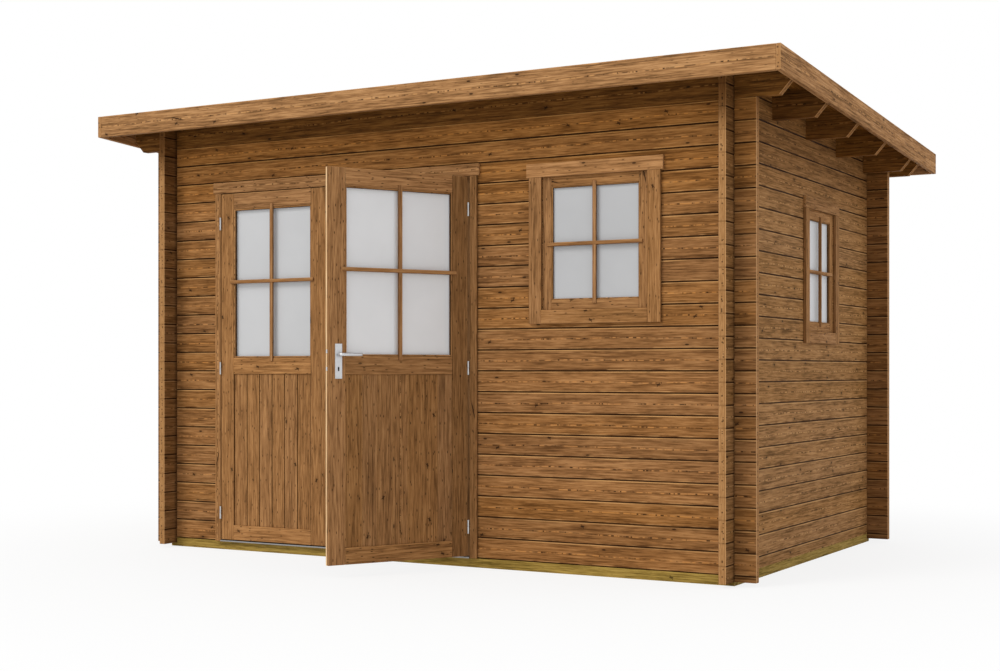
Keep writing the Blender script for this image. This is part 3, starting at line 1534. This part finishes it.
@dataclass
class Window:
    """A fixed window: trim, sash, beads and bars, set in a wall that faces -Y, or +X with a quarter turn.

    Its timber is built in a frame whose origin is the middle of the opening's head on the wall's face.
    """

    name: str
    turn: float
    trim: float
    seed: int
    shade: int
    trim_depth: float = 0.018
    sash: float = 0.053
    over: float = 0.015
    back: float = 0.020
    log: float = 0.042
    bead: float = 0.006
    bead_drop: float = 0.005
    pane_in: float = 0.0168
    bar: float = 0.020
    lap: float = 0.022
    high: float = 0.49
    head_tone: float = 1.27

    def __post_init__(self) -> None:
        """Reads the sash's size, and finds its face and where the window stands."""
        low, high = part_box(f"{self.name}_sash")
        outer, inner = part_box(f"{self.name}_trim")
        if self.turn:
            wide, spot = high.y - low.y, (outer.x, (low.y + high.y) / 2, high.z)
        else:
            wide, spot = high.x - low.x, ((low.x + high.x) / 2, inner.y, high.z)
        self.half, self.tall = wide / 2, high.z - low.z
        self.face = self.back - self.trim_depth
        self.place = turned(math.radians(self.turn), spot)

    def frame_boards(self) -> None:
        """Builds the trim's two sides, head and foot."""
        h, tall, t, d = self.half, self.tall, self.trim, self.trim_depth
        stack = Stack(self.seed)
        for side in (-1, 1):
            stack.post((side * (h + t / 2), -d / 2, -tall - t), tall + t, t, d, BOARD_EDGE)
        reach = h + t + self.over
        stack.rail((-reach, -d / 2, t / 2), 2 * reach, t, d, BOARD_EDGE, self.head_tone)
        stack.rail((-h, -d / 2, -tall - t / 2), 2 * h, t, d, BOARD_EDGE)
        timber = TRIM_TIMBER.boarded(f"{self.name} trim boards")
        piece = stack.piece(f"{self.name}_trim_boards", timber, self.place)
        settle(piece, "building", "trim_wood", f"{self.name}_trim")

    def border(self, stack: Stack, inset: float, width: float, y: float, depth: float, soft: float) -> None:
        """Adds two uprights and two rails between them, a set distance inside the sash's edge.

        Args:
            stack: The piece's boards.
            inset: Distance from the sash's edge.
            width: Width of the boards.
            y: Their front face.
            depth: Their thickness.
            soft: Radius of their edges.
        """
        h, foot, mid = self.half - inset, inset - self.tall, y + depth / 2
        for side in (-1, 1):
            stack.post((side * (h - width / 2), mid, foot), -inset - foot, width, depth, soft)
        for z in (-inset - width / 2, foot + width / 2):
            stack.rail((-h + width, mid, z), 2 * (h - width), width, depth, soft)

    def sash_and_beads(self) -> None:
        """Builds the sash and the beads that hold its pane."""
        stack = Stack(self.seed + 1)
        self.border(stack, 0.0, self.sash, self.face, self.log - self.face, FRAME_EDGE)
        timber = LEAF_TIMBER.boarded(f"{self.name} sash timber")
        piece = stack.piece(f"{self.name}_sash_timber", timber, self.place)
        settle(piece, "building", "leaf_wood", f"{self.name}_sash")
        stack = Stack(self.seed + 3)
        y, depth = self.face + self.bead_drop, self.pane_in - self.bead_drop
        self.border(stack, self.sash, self.bead, y, depth, FINE_EDGE)
        timber = BEAD_TIMBER.boarded(f"{self.name} beads")
        settle(stack.piece(f"{self.name}_beads", timber, self.place), "building", "leaf_wood")

    def bars(self) -> None:
        """Builds the crossing bars on both faces of the sash, half their depth proud of it."""
        h, tall, reach = self.half, self.tall, self.sash - self.lap
        z = -tall + self.sash + self.high * (tall - 2 * self.sash)
        stack = Stack(self.seed + 2)
        for y, nudge in ((self.face, -BAR_CROSS / 2), (self.log, BAR_CROSS / 2)):
            stack.post((0.0, y, reach - tall), tall - 2 * reach, self.bar, BAR_DEPTH, BOARD_EDGE)
            start = (reach - h, y + nudge, z)
            stack.rail(start, 2 * (h - reach), self.bar, BAR_DEPTH + BAR_CROSS, BOARD_EDGE)
        timber = BAR_TIMBER.boarded(f"{self.name} bars")
        settle(stack.piece(f"{self.name}_bars", timber, self.place), "building", "leaf_wood")

    def build(self) -> None:
        """Builds the window's timber and dresses its pane."""
        self.frame_boards()
        self.sash_and_beads()
        self.bars()
        dress(Pane(self.shade).material(f"{self.name} pane"), f"{self.name}_pane")


@dataclass
class Studio:
    """Floor, soft lights, white surroundings and the level camera."""

    azimuth: float = 29.497
    spot: Vec = (4.5844, -7.2654, 1.0698)
    focal: float = 1.54383
    sensor: float = 36.0
    shift: float = 0.03527
    ambient: float = 0.74
    lamp: float = 1.15
    lamp_spread: float = 24.0
    lamp_tilt: float = 48.0
    lamp_turn: float = -32.0
    lamp_colour: Colour = (1.0, 0.965, 0.92)
    floor_colour: Colour = (0.86, 0.86, 0.85)
    floor_reach: float = 60.0
    floor_white: float = 0.82
    floor_fade: tuple[float, float] = (1.5, 5.0)

    def floor(self) -> None:
        """Lays a pale floor that goes over into white with the distance from the shed."""
        turn = np.linspace(0.0, 2 * math.pi, 64, endpoint=False)
        ring = np.stack([self.floor_reach * np.cos(turn), self.floor_reach * np.sin(turn), 0.0 * turn], 1)
        mesh = bpy.data.meshes.new("floor")
        mesh.from_pydata(ring.tolist(), [], [list(range(len(turn)))])
        made, w, shader = new_material("pale floor")
        x, y, _ = w.split(w.node("ShaderNodeTexCoord").outputs["Object"])
        square = w.math("ADD", w.math("POWER", x, 2.0), w.math("POWER", w.less(y, 1.0), 2.0))
        white = w.step(w.math("SQRT", square), *self.floor_fade, self.floor_white, 1.0)
        shader.inputs["Base Color"].default_value = (*self.floor_colour, 1.0)
        shader.inputs["Roughness"].default_value = 0.9
        shader.inputs["Specular IOR Level"].default_value = 0.0
        glow = w.node("ShaderNodeEmission")
        glow.inputs["Color"].default_value = (1.0, 1.0, 1.0, 1.0)
        glow.inputs["Strength"].default_value = 1.0
        blend = w.node("ShaderNodeMixShader")
        ray = w.node("ShaderNodeLightPath")
        seen = w.most(ray.outputs["Is Camera Ray"], ray.outputs["Is Glossy Ray"])
        w.feed(blend.inputs[0], w.times(white, seen))
        w.feed(blend.inputs[1], shader.outputs[0])
        w.feed(blend.inputs[2], glow.outputs[0])
        w.feed(made.node_tree.nodes["Material Output"].inputs["Surface"], blend.outputs[0])
        mesh.materials.append(made)
        plane = show("floor", mesh)

    def lights(self) -> None:
        """Sets white surroundings, dimmer as light than to the camera and in gloss, and one broad lamp."""
        world = bpy.data.worlds.new("white room")
        bpy.context.scene.world = world
        world.use_nodes = True
        w = Wiring(world.node_tree)
        back = world.node_tree.nodes["Background"]
        back.inputs["Color"].default_value = (1.0, 1.0, 1.0, 1.0)
        ray = w.node("ShaderNodeLightPath")
        seen = w.most(ray.outputs["Is Camera Ray"], ray.outputs["Is Glossy Ray"])
        seen = w.most(seen, ray.outputs["Is Transmission Ray"])
        w.feed(back.inputs["Strength"], w.math("MULTIPLY_ADD", seen, 1.0 - self.ambient, self.ambient))
        lamp = bpy.data.lights.new("broad lamp", "SUN")
        lamp.energy = self.lamp
        lamp.angle = math.radians(self.lamp_spread)
        lamp.color = self.lamp_colour
        made = show("broad lamp", lamp)
        made.rotation_euler = (math.radians(self.lamp_tilt), 0.0, math.radians(self.lamp_turn))

    def camera(self) -> None:
        """Places the level camera at the photograph's angle, with a small vertical shift."""
        data = bpy.data.cameras.new("camera")
        data.sensor_width = self.sensor
        data.lens = self.sensor * self.focal
        data.shift_y = self.shift
        made = show("camera", data)
        made.location = self.spot
        made.rotation_euler = (math.radians(90.0), 0.0, math.radians(self.azimuth))
        bpy.context.scene.camera = made

    def build(self) -> None:
        """Sets up the whole studio."""
        self.floor()
        self.lights()
        self.camera()
        bpy.context.scene.view_settings.view_transform = "Standard"


def main() -> None:
    """Builds and dresses the sub-assemblies in order."""
    logging.basicConfig(level=logging.INFO, format="%(message)s")
    Studio().build()
    Foundation().dress()
    Walls().dress()
    roof = Roof()
    roof.dress()
    roof.fascias()
    Doorway().build()
    left = Leaf(
        Hand.LEFT, width=0.882, free_stile=0.222, boards=6, groove=0.0062, shade=208,
        rail_tone=1.12, inset=0.004,
    )
    left.build()
    right = Leaf(
        Hand.RIGHT, width=0.828, free_stile=0.096, boards=7, groove=0.0008, shade=248,
        hinge_tone=0.72, rail_tone=0.98, top_tone=1.15, free_tone=1.08, panel_tone=0.88,
    )
    right.build()
    Handle(right).build()
    Window("front_window", turn=0.0, trim=0.074, seed=400, shade=190).build()
    Window("side_window", turn=90.0, trim=0.066, seed=420, shade=226, over=0.0, head_tone=0.92).build()


if __name__ == "__main__":
    main()
